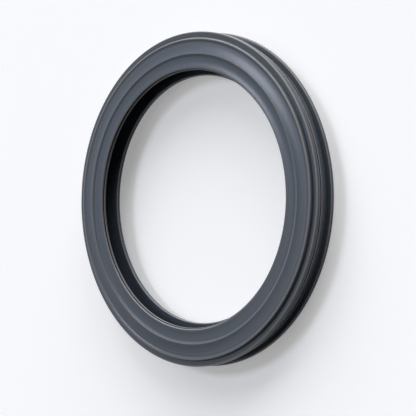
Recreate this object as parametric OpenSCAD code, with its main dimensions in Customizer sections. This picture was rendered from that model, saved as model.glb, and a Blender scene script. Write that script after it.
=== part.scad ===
// Pressure cooker sealing ring, moulded in one piece of silicone rubber.
// It lies on its back face. Its axis is Z, and the sealing face looks up.
// One outline in the (r, z) plane, turned about Z, makes the whole ring. Seen in section it is
// a heavy rim with two lips reaching inwards, and a channel between them that steam blows open.

/* [Ring] */
// Inside diameter, at the tip of the back lip
bore_d = 178; // [140:1:300]
// Width of the section, from the bore to the rim
section_w = 31; // [29:0.5:37]
// Height of the front edge above the back face
front_h = 19.9; // [19.2:0.1:23]

/* [Front face] */
// How far the front edge lies inside the rim
edge_inset = 4.8; // [3.4:0.1:5.6]
// Width of the raised front edge
edge_w = 2.2; // [1.8:0.1:3]
// Height of the front edge above the band inside it
edge_rise = 0.35; // [0.1:0.05:0.6]
// Radius of the front edge
edge_round = 0.8; // [0.3:0.1:1]
// How far the outer wall of the front edge leans outwards
edge_draft = 0.7; // [0.3:0.1:1]
// Distance from the bore to the crest that parts the two bands
crest_in = 14.9; // [12.6:0.1:16.6]
// Height of the crest above the front edge
crest_rise = 1; // [0.6:0.1:1.8]
// Width of the riser on the inner side of the crest
riser_w = 1.8; // [1:0.1:2.6]
// Height of the riser
riser_h = 0.7; // [0.4:0.05:1.2]
// Radius of the crest and of the riser's foot
crest_round = 0.9; // [0.4:0.1:1.2]
// Depth of the hollow in the outer band
outer_dish = 0.3; // [0.1:0.05:0.8]
// Depth of the hollow in the inner band
inner_dish = 0.3; // [0.1:0.05:0.7]

/* [Front lip] */
// Distance from the bore to the wall under the inner edge of the face
wall_in = 4.2; // [3.8:0.1:5]
// Height of the inner edge of the face above the front edge
inner_edge_rise = 0.85; // [0.4:0.05:1.1]
// Radius of the inner edge of the face
inner_edge_round = 0.8; // [0.3:0.1:1]
// Height of the wall between the inner edge's round and the notch
wall_h = 0.1; // [0.05:0.05:0.4]
// Height of the notch
notch_h = 0.7; // [0.4:0.05:0.9]
// Depth of the notch
notch_deep = 0.7; // [0.3:0.1:1]
// Distance from the bore to the nose of the front lip
nose_in = 3.3; // [2.8:0.1:3.7]
// Thickness of the nose below the notch
nose_t = 1.8; // [1.6:0.1:3.4]
// Radius of the corner between the nose and the channel
nose_round = 1; // [0.4:0.1:1.2]

/* [Rim] */
// Depth from the front edge to the ridge
ridge_drop = 2.1; // [1.6:0.1:2.8]
// Width of the ridge along the axis
ridge_w = 3.4; // [2.4:0.1:4]
// Radius of the front corner of the ridge
ridge_round = 0.6; // [0.2:0.1:1]
// Fall of the ridge's front wall towards the groove behind the front edge
gutter_fall = 0.4; // [0.1:0.05:0.8]
// Height of the step behind the ridge
step_h = 0.8; // [0.4:0.1:1.2]
// Width of the relief groove in the corner of the step
relief_w = 2; // [1:0.1:2.4]
// Depth of the relief groove below the step
relief_deep = 0.7; // [0.3:0.1:0.9]
// Depth of the hollow, from the rim to its deepest end
hollow_deep = 4.2; // [3:0.1:4.8]
// How far the hollow's floor bulges outwards
hollow_bulge = 0.4; // [0.1:0.1:0.8]
// Thickness of the flange at the back of the rim
flange_t = 3.2; // [2.4:0.1:4]
// Radius in the corner between the hollow and the flange
flange_fillet = 0.7; // [0.3:0.1:1.2]
// Radius of the flange's front corner
flange_round = 0.6; // [0.2:0.1:0.7]
// Radius of the flange's back corner
back_round = 1.4; // [0.4:0.1:1.6]

/* [Back lip] */
// Width of the flat foot on the back face
foot_w = 9.5; // [6:0.5:12]
// Height of the back lip's tip above the back face
lip_rise = 6; // [4.6:0.1:7.2]
// Thickness of the back lip at its tip
lip_t = 3.3; // [3:0.1:4]
// Radius of the tip's front corner
lip_front_round = 0.8; // [0.4:0.1:1]
// Radius of the tip's back corner
lip_back_round = 1.6; // [0.4:0.1:1.8]

/* [Channel] */
// Depth of the channel, from the bore to its floor
channel_deep = 21; // [15:0.5:22]
// Fall of the back lip's inner side, from its tip to the channel floor
channel_fall = 3.8; // [2:0.1:4.5]
// Fall of the front lip's inner side, from its nose to the channel floor
channel_dip = 1.2; // [0:0.1:2]
// Radius of the channel's two floor corners
channel_round = 3.2; // [1:0.1:3.4]

/* [Hidden] */
$fn = 240;
bow_steps = 10;
small_round = 0.25;
// Degrees from point to point on a small corner and on a large one
small_step = 30;
large_step = 12;

bore_r = bore_d / 2;
rim_r = bore_r + section_w;

// Radii and heights of the front face
edge_r = rim_r - edge_inset;
band_end_r = edge_r - edge_w;
crest_r = bore_r + crest_in;
crest_z = front_h + crest_rise;
riser_foot_r = crest_r - riser_w;
riser_foot_z = crest_z - riser_h;
wall_r = bore_r + wall_in;
inner_edge_z = front_h + inner_edge_rise;
inner_band_r = wall_r + 1.6 * inner_edge_round;
inner_band_z = inner_edge_z - 0.05;
edge_slope_w = 0.4 * edge_w;

// Radii and heights of the front lip's nose
notch_z = inner_edge_z - 1.1 * inner_edge_round - wall_h;
nose_r = bore_r + nose_in;
nose_top_z = notch_z - notch_h;
nose_z = nose_top_z - nose_t;

// Radii and heights of the rim
ridge_z = front_h - ridge_drop;
ridge_back_z = ridge_z - ridge_w;
step_r = rim_r - step_h;
relief_r = step_r - relief_deep;
relief_end_z = ridge_back_z - relief_w;
relief_round = min(small_round, 0.4 * relief_deep);
hollow_r = rim_r - hollow_deep;
hollow_end_z = flange_t + 2 * flange_fillet;

// Radii and heights of the back lip and the channel
foot_r = rim_r - foot_w;
heel_round = foot_w / 4;
lip_top_z = lip_rise + lip_t;
channel_r = bore_r + channel_deep;

function unit(v) = v / norm(v);

function turned(v, angle) = [
    v.x * cos(angle) - v.y * sin(angle),
    v.x * sin(angle) + v.y * cos(angle)
];

// The points that stand for one corner [r, z, radius] between its two neighbours
function rounded(before, here, after) =
    let (
        p = [here.x, here.y],
        to_before = unit([before.x, before.y] - p),
        to_after = unit([after.x, after.y] - p),
        half = acos(to_before * to_after) / 2,
        centre = p + unit(to_before + to_after) * here.z / sin(half),
        start = p + to_before * here.z / tan(half) - centre,
        bend = 180 - 2 * half,
        way = sign(cross(to_before, to_after)),
        steps = ceil(bend / (here.z > 2 * small_round ? large_step : small_step))
    )
    here.z == 0
    ? [p]
    : [for (i = [0 : steps]) centre + turned(start, -way * bend * i / steps)];

// The points of a shallow arc from a to b, which bows to the right of the way from a to b, or to
// the left of it where bow is negative. Both ends are left out.
function bowed(a, b, bow) =
    let (
        along = unit(b - a),
        across = [along.y, -along.x],
        radius = (pow(norm(b - a) / 2, 2) + bow * bow) / (2 * bow),
        sweep = asin(norm(b - a) / 2 / radius),
        centre = (a + b) / 2 - across * (radius - bow)
    )
    [for (i = [1 : bow_steps - 1])
        let (angle = sweep * (2 * i / bow_steps - 1))
        concat(centre + across * radius * cos(angle) + along * radius * sin(angle), [0])
    ];

// The sealing face, from its inner edge to its outer edge
face = concat(
    [[wall_r, inner_edge_z, inner_edge_round]],
    bowed([inner_band_r, inner_band_z], [riser_foot_r, riser_foot_z], inner_dish),
    [[riser_foot_r, riser_foot_z, crest_round]],
    [[crest_r, crest_z, crest_round]],
    bowed([crest_r, crest_z], [band_end_r, front_h - edge_rise], outer_dish),
    [[band_end_r, front_h - edge_rise, 0]],
    [[band_end_r + edge_slope_w, front_h, 2 * small_round]],
    [[edge_r, front_h, edge_round]]
);

// The rim, from the gutter behind the front edge to the flange's back corner
rim = concat(
    [[edge_r + edge_draft, ridge_z - gutter_fall, small_round]],
    [[rim_r, ridge_z, ridge_round]],
    [[rim_r, ridge_back_z, 2 * small_round]],
    [[relief_r, ridge_back_z - small_round, relief_round]],
    [[relief_r, relief_end_z, relief_round]],
    [[step_r, relief_end_z, relief_round]],
    bowed([step_r, relief_end_z], [hollow_r, hollow_end_z], -hollow_bulge),
    [[hollow_r, flange_t + 2 * small_round, flange_fillet]],
    [[rim_r, flange_t, flange_round]],
    [[rim_r, 0, back_round]]
);

// The back face and the tip of the back lip
back = [
    [foot_r, 0, heel_round],
    [bore_r, lip_rise, lip_back_round],
    [bore_r, lip_top_z, lip_front_round]
];

// The channel between the lips, the nose of the front lip and the notch above it, half an ellipse
inside = concat(
    [[channel_r, lip_top_z - channel_fall, channel_round]],
    [[channel_r, nose_z - channel_dip, channel_round]],
    [[nose_r, nose_z, nose_round]],
    [[nose_r, nose_top_z, small_round]],
    [for (angle = [-90 : 30 : 90])
        [wall_r + notch_deep * cos(angle), nose_top_z + notch_h * (1 + sin(angle)) / 2, 0]
    ]
);

corners = concat(face, rim, back, inside);

outline = [
    for (i = [0 : len(corners) - 1])
    each rounded(
        corners[(i + len(corners) - 1) % len(corners)],
        corners[i],
        corners[(i + 1) % len(corners)]
    )
];

module sealing_ring() {
    color("#565d68")
    rotate_extrude()
    polygon(outline);
}

sealing_ring();
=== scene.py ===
import math

import bpy
import numpy as np
from mathutils import Matrix, Vector


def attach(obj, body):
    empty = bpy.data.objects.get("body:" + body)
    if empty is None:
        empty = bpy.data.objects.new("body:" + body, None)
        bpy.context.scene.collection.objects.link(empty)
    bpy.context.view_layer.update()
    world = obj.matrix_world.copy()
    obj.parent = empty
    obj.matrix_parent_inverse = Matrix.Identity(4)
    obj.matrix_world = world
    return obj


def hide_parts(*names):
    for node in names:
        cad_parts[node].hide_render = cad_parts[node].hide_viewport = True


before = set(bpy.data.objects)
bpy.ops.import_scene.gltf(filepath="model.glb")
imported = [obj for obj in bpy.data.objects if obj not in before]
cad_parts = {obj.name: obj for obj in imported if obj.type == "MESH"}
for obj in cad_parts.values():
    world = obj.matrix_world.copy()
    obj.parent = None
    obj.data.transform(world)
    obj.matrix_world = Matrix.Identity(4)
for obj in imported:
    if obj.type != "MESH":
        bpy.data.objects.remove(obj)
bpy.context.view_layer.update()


# The view
# The camera looks down on the lying ring at the angle of the photograph, from far enough away
# that the ring's near and far sides differ little in size. Lengths are in metres here and in the
# rest of the file, and the lens is in millimetres.
view_tilt = math.radians(44.94)
view_roll = math.radians(1.21)
camera_distance = 1.4865
face_height = 0.01995
face_right_of_centre = -0.01269
face_above_centre = 0.00654
lens_length = 179.8

camera_turn = Matrix.Rotation(view_tilt, 3, "Y") @ Matrix.Rotation(view_roll, 3, "Z")
face_in_view = Vector((face_right_of_centre, face_above_centre, -camera_distance))
camera = bpy.data.objects.new("camera", bpy.data.cameras.new("camera"))
bpy.context.scene.collection.objects.link(camera)
camera.location = Vector((0, 0, face_height)) - camera_turn @ face_in_view
camera.rotation_euler = camera_turn.to_euler()
camera.data.lens = lens_length
bpy.context.scene.camera = camera


# The sealing ring
# One moulding of blue-grey silicone rubber, pressed between turned steel mould plates, so its
# section is the same all the way round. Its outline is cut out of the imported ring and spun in
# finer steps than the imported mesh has.
cut_tolerance = 0.000001
straight_angle = math.radians(0.5)
longest_edge = 0.0008

bpy.ops.object.select_all(action="DESELECT")
ring = bpy.data.objects.new("silicone_ring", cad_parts["sealing_ring"].data.copy())
bpy.context.scene.collection.objects.link(ring)
ring.data.materials.clear()
ring.select_set(True)
bpy.context.view_layer.objects.active = ring

# A cut through the axis leaves the outline on both sides of it, and the one at x > 0 is kept.
bpy.ops.object.mode_set(mode="EDIT")
bpy.ops.mesh.select_all(action="SELECT")
bpy.ops.mesh.remove_doubles(threshold=cut_tolerance)
bpy.ops.mesh.bisect(
    plane_co=(0, 0, 0), plane_no=(0, 1, 0), clear_inner=True, clear_outer=True, threshold=cut_tolerance
)
bpy.ops.mesh.select_all(action="DESELECT")
bpy.ops.object.mode_set(mode="OBJECT")
for vertex in ring.data.vertices:
    vertex.select = vertex.co.x < 0
bpy.ops.object.mode_set(mode="EDIT")
bpy.ops.mesh.delete(type="VERT")
bpy.ops.mesh.select_all(action="SELECT")
bpy.ops.mesh.dissolve_limited(angle_limit=straight_angle)
bpy.ops.object.mode_set(mode="OBJECT")


def edge_length(mesh, edge):
    start, end = (mesh.vertices[i].co for i in edge.vertices)
    return (end - start).length


# Long stretches of the outline are divided, so that what is painted along an edge stays near it.
while max(edge_length(ring.data, edge) for edge in ring.data.edges) > longest_edge:
    bpy.ops.object.mode_set(mode="EDIT")
    bpy.ops.mesh.select_all(action="DESELECT")
    bpy.ops.mesh.select_mode(type="EDGE")
    bpy.ops.object.mode_set(mode="OBJECT")
    for edge in ring.data.edges:
        edge.select = edge_length(ring.data, edge) > longest_edge
    bpy.ops.object.mode_set(mode="EDIT")
    bpy.ops.mesh.subdivide(number_cuts=1)
    bpy.ops.object.mode_set(mode="OBJECT")


def outline_order(mesh):
    """The indices of the outline's vertices, in the order in which they follow each other."""
    beside = {vertex.index: [] for vertex in mesh.vertices}
    for edge in mesh.edges:
        first, second = edge.vertices
        beside[first].append(second)
        beside[second].append(first)
    order = [0, beside[0][0]]
    while len(order) < len(mesh.vertices):
        ahead = [i for i in beside[order[-1]] if i != order[-2]]
        order.append(ahead[0])
    return order


# Where the outline turns outwards it is an edge, which gets a painted highlight, paler than the
# bands between, and a fainter one inside lip_radius, on the two lips and the face's inner edge.
# Where it turns inwards it is a corner, which gets painted shade.
edge_reach = 0.00055
full_edge_turn = math.radians(60)
lip_radius = 0.0945
lip_share = 0.65

order = outline_order(ring.data)
points = np.array([ring.data.vertices[i].co for i in order])[:, [0, 2]]
steps = np.roll(points, -1, axis=0) - points
headings = np.arctan2(steps[:, 1], steps[:, 0])
turns = (headings - np.roll(headings, 1) + math.pi) % (2 * math.pi) - math.pi
turns *= np.sign(turns.sum())
along = np.concatenate([[0], np.cumsum(np.hypot(*steps.T))])
outline_length = along[-1]
gaps = np.abs(along[:-1, None] - along[None, :-1])
gaps = np.minimum(gaps, outline_length - gaps)
near = np.exp(-((gaps / edge_reach) ** 2))
turn_nearby = (near * turns[None, :]).sum(axis=1) / full_edge_turn
# How strongly each point gets the painted edge highlight; the lips get less of it.
highlight_along_outline = np.clip(turn_nearby, 0, 1)
highlight_along_outline[points[:, 0] < lip_radius] *= lip_share
painted_edge_highlight = ring.data.attributes.new("painted_edge_highlight", "FLOAT", "POINT")
# How strongly each point gets painted shade in the inner corners.
painted_corner_shade = ring.data.attributes.new("painted_corner_shade", "FLOAT", "POINT")
for i, edge, corner in zip(order, highlight_along_outline, np.clip(-turn_nearby, 0, 1)):
    painted_edge_highlight.data[i].value = edge
    painted_corner_shade.data[i].value = corner

spin_steps = 288
seam_tolerance = 0.00001
sharp_angle = math.radians(40)

bpy.ops.object.mode_set(mode="EDIT")
bpy.ops.mesh.select_mode(type="VERT")
bpy.ops.mesh.select_all(action="SELECT")
bpy.ops.mesh.spin(
    steps=spin_steps, angle=2 * math.pi, center=(0, 0, 0), axis=(0, 0, 1), use_auto_merge=True
)
bpy.ops.mesh.select_all(action="SELECT")
bpy.ops.mesh.remove_doubles(threshold=seam_tolerance)
bpy.ops.mesh.normals_make_consistent(inside=False)
bpy.ops.object.mode_set(mode="OBJECT")
bpy.ops.object.shade_smooth_by_angle(angle=sharp_angle)
weighted = ring.modifiers.new("weighted", "WEIGHTED_NORMAL")
weighted.keep_sharp = True
bpy.ops.object.modifier_apply(modifier=weighted.name)

# The rubber is dull. It has fine rings left by the mould's turning, a light grain and slow changes
# of tone where it flowed. Its edges get a paler, warmer painted highlight, and its inner corners
# get painted shade.
body_colour = (0.063, 0.080, 0.106, 1)
deep_colour = (0.056, 0.071, 0.095, 1)
# Painted shade: the dark colour mixed in at the inner corners.
painted_shade_colour = (0.018, 0.022, 0.028, 1)
# Painted highlight: the paler, warmer colour mixed in along the edges.
painted_highlight_colour = (0.200, 0.183, 0.177, 1)
rubber_ior = 1.41
rubber_specular = 0.35
dusty_sheen = 0.05
dusty_sheen_roughness = 0.45
turning_scale, turning_detail, turning_mix = 700, 4, 0.6
grain_scale, grain_detail = 3600, 2
flow_scale, flow_detail = 22, 3
faintest_highlight, fullest_highlight = 0.3, 0.85
pattern_low, pattern_high = 0.3, 0.7
smoothest, dullest = 0.23, 0.29
turning_strength, turning_depth = 0.5, 0.000014
grain_strength, grain_depth = 0.4, 0.00002


def add_node(nodes, kind, inputs=None, **settings):
    """A shader node with its settings, and with plain values in the sockets that inputs names."""
    node = nodes.new(kind)
    for name, value in settings.items():
        setattr(node, name, value)
    for name, value in (inputs or {}).items():
        node.inputs[name].default_value = value
    return node


silicone = bpy.data.materials.new("moulded_silicone")
silicone.use_nodes = True
nodes = silicone.node_tree.nodes
links = silicone.node_tree.links
surface = nodes["Principled BSDF"]
surface.inputs["IOR"].default_value = rubber_ior
surface.inputs["Specular IOR Level"].default_value = rubber_specular
surface.inputs["Sheen Weight"].default_value = dusty_sheen
surface.inputs["Sheen Roughness"].default_value = dusty_sheen_roughness

# The turning rings are a pattern on the distance from the axis and the height, so they run round.
place = add_node(nodes, "ShaderNodeTexCoord")
split = add_node(nodes, "ShaderNodeSeparateXYZ")
links.new(place.outputs["Object"], split.inputs[0])
flat_place = add_node(nodes, "ShaderNodeCombineXYZ")
links.new(split.outputs["X"], flat_place.inputs["X"])
links.new(split.outputs["Y"], flat_place.inputs["Y"])
radius = add_node(nodes, "ShaderNodeVectorMath", operation="LENGTH")
links.new(flat_place.outputs[0], radius.inputs[0])
section_place = add_node(nodes, "ShaderNodeCombineXYZ")
links.new(radius.outputs["Value"], section_place.inputs["X"])
links.new(split.outputs["Z"], section_place.inputs["Y"])
turning_rings = add_node(
    nodes, "ShaderNodeTexNoise",
    {"Scale": turning_scale, "Detail": turning_detail, "Roughness": turning_mix}
)
links.new(section_place.outputs[0], turning_rings.inputs["Vector"])
grain = add_node(nodes, "ShaderNodeTexNoise", {"Scale": grain_scale, "Detail": grain_detail})
links.new(place.outputs["Object"], grain.inputs["Vector"])
flow = add_node(nodes, "ShaderNodeTexNoise", {"Scale": flow_scale, "Detail": flow_detail})
links.new(place.outputs["Object"], flow.inputs["Vector"])

tone = add_node(nodes, "ShaderNodeMix", data_type="RGBA")
tone.inputs["A"].default_value = deep_colour
tone.inputs["B"].default_value = body_colour
links.new(flow.outputs["Fac"], tone.inputs["Factor"])
# Painted shade: the colour darkens in the inner corners of grooves and recesses.
painted_shade_amount = add_node(nodes, "ShaderNodeAttribute", attribute_name="painted_corner_shade")
painted_shade_tone = add_node(nodes, "ShaderNodeMix", data_type="RGBA")
links.new(painted_shade_amount.outputs["Fac"], painted_shade_tone.inputs["Factor"])
links.new(tone.outputs["Result"], painted_shade_tone.inputs["A"])
painted_shade_tone.inputs["B"].default_value = painted_shade_colour
# Painted highlight: the colour turns paler and warmer along the outward edges.
painted_highlight_amount = add_node(nodes, "ShaderNodeAttribute", attribute_name="painted_edge_highlight")
painted_highlight_line = add_node(
    nodes, "ShaderNodeMapRange",
    {"From Min": faintest_highlight, "From Max": fullest_highlight}, interpolation_type="SMOOTHSTEP"
)
links.new(painted_highlight_amount.outputs["Fac"], painted_highlight_line.inputs["Value"])
painted_highlight_tone = add_node(nodes, "ShaderNodeMix", data_type="RGBA")
links.new(painted_highlight_line.outputs["Result"], painted_highlight_tone.inputs["Factor"])
links.new(painted_shade_tone.outputs["Result"], painted_highlight_tone.inputs["A"])
painted_highlight_tone.inputs["B"].default_value = painted_highlight_colour
links.new(painted_highlight_tone.outputs["Result"], surface.inputs["Base Color"])

dullness = add_node(
    nodes, "ShaderNodeMapRange",
    {"From Min": pattern_low, "From Max": pattern_high, "To Min": smoothest, "To Max": dullest}
)
links.new(turning_rings.outputs["Fac"], dullness.inputs["Value"])
links.new(dullness.outputs["Result"], surface.inputs["Roughness"])

turning_bump = add_node(
    nodes, "ShaderNodeBump", {"Strength": turning_strength, "Distance": turning_depth}
)
links.new(turning_rings.outputs["Fac"], turning_bump.inputs["Height"])
grain_bump = add_node(
    nodes, "ShaderNodeBump", {"Strength": grain_strength, "Distance": grain_depth}
)
links.new(grain.outputs["Fac"], grain_bump.inputs["Height"])
links.new(turning_bump.outputs["Normal"], grain_bump.inputs["Normal"])
links.new(grain_bump.outputs["Normal"], surface.inputs["Normal"])
ring.data.materials.append(silicone)

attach(ring, "root")
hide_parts("sealing_ring")


# The floor
# A plain pale floor that keeps the ring's soft shadow. It glows a little for the rays that see
# it, which makes it white with no more light on the ring.
floor_size = 8
floor_colour = (0.80, 0.80, 0.816, 1)
floor_roughness = 0.8
floor_glow = 0.30

bpy.ops.mesh.primitive_plane_add(size=floor_size, location=(0, 0, 0))
floor = bpy.context.active_object
floor.name = "floor"
floor_paint = bpy.data.materials.new("floor_paint")
floor_paint.use_nodes = True
nodes = floor_paint.node_tree.nodes
links = floor_paint.node_tree.links
floor_surface = nodes["Principled BSDF"]
floor_surface.inputs["Base Color"].default_value = floor_colour
floor_surface.inputs["Roughness"].default_value = floor_roughness


def rays_that_see(nodes, links):
    """A value of 1 for what the camera sees, straight or in gloss or glass, and 0 for other rays."""
    rays = add_node(nodes, "ShaderNodeLightPath")
    seen = rays.outputs["Is Camera Ray"]
    for kind in ("Is Glossy Ray", "Is Transmission Ray"):
        either = add_node(nodes, "ShaderNodeMath", operation="MAXIMUM")
        links.new(seen, either.inputs[0])
        links.new(rays.outputs[kind], either.inputs[1])
        seen = either.outputs[0]
    return seen


glow_level = add_node(nodes, "ShaderNodeMapRange", {"To Min": 0, "To Max": floor_glow})
links.new(rays_that_see(nodes, links), glow_level.inputs["Value"])
floor_surface.inputs["Emission Color"].default_value = (1, 1, 1, 1)
links.new(glow_level.outputs["Result"], floor_surface.inputs["Emission Strength"])
floor.data.materials.append(floor_paint)


# The light
# Soft lamps at a level at which colours show about as written. Most of the light comes in low
# from the top and the left of the view, and a smaller lamp higher up puts the sheen on the bands.
soft_spread = 30
sheen_spread = 15
sheen_colour = (0.86, 0.89, 1)


def add_soft_lamp(name, azimuth, elevation, strength, spread=soft_spread, colour=(1, 1, 1)):
    """A lamp far away, with its direction and angular size in degrees and its strength in W/m2."""
    lamp = bpy.data.objects.new(name, bpy.data.lights.new(name, "SUN"))
    bpy.context.scene.collection.objects.link(lamp)
    around = Matrix.Rotation(math.radians(azimuth), 3, "Z")
    tipped = Matrix.Rotation(math.radians(90 - elevation), 3, "Y")
    lamp.rotation_euler = (around @ tipped).to_euler()
    lamp.data.energy = strength
    lamp.data.color = colour
    lamp.data.angle = math.radians(spread)


add_soft_lamp("top_right_lamp", azimuth=67.5, elevation=8, strength=2.25)
add_soft_lamp("top_left_lamp", azimuth=112.5, elevation=8, strength=1.65)
add_soft_lamp("upper_top_lamp", azimuth=90, elevation=25, strength=1.1)
add_soft_lamp("upper_left_lamp", azimuth=135, elevation=25, strength=0.9)
add_soft_lamp("left_lamp", azimuth=195, elevation=60, strength=0.27)
add_soft_lamp(
    "sheen_lamp", azimuth=150.5, elevation=54, strength=0.93, spread=sheen_spread, colour=sheen_colour
)

# The room is white for the rays that see it, and adds little light of its own.
room_strength = 0.03
room = bpy.data.worlds.new("room")
bpy.context.scene.world = room
room.use_nodes = True
nodes = room.node_tree.nodes
links = room.node_tree.links
room_light = nodes["Background"]
room_light.inputs["Color"].default_value = (1, 1, 1, 1)
room_level = add_node(nodes, "ShaderNodeMapRange", {"To Min": room_strength, "To Max": 1})
links.new(rays_that_see(nodes, links), room_level.inputs["Value"])
links.new(room_level.outputs["Result"], room_light.inputs["Strength"])

bpy.context.scene.view_settings.view_transform = "Standard"
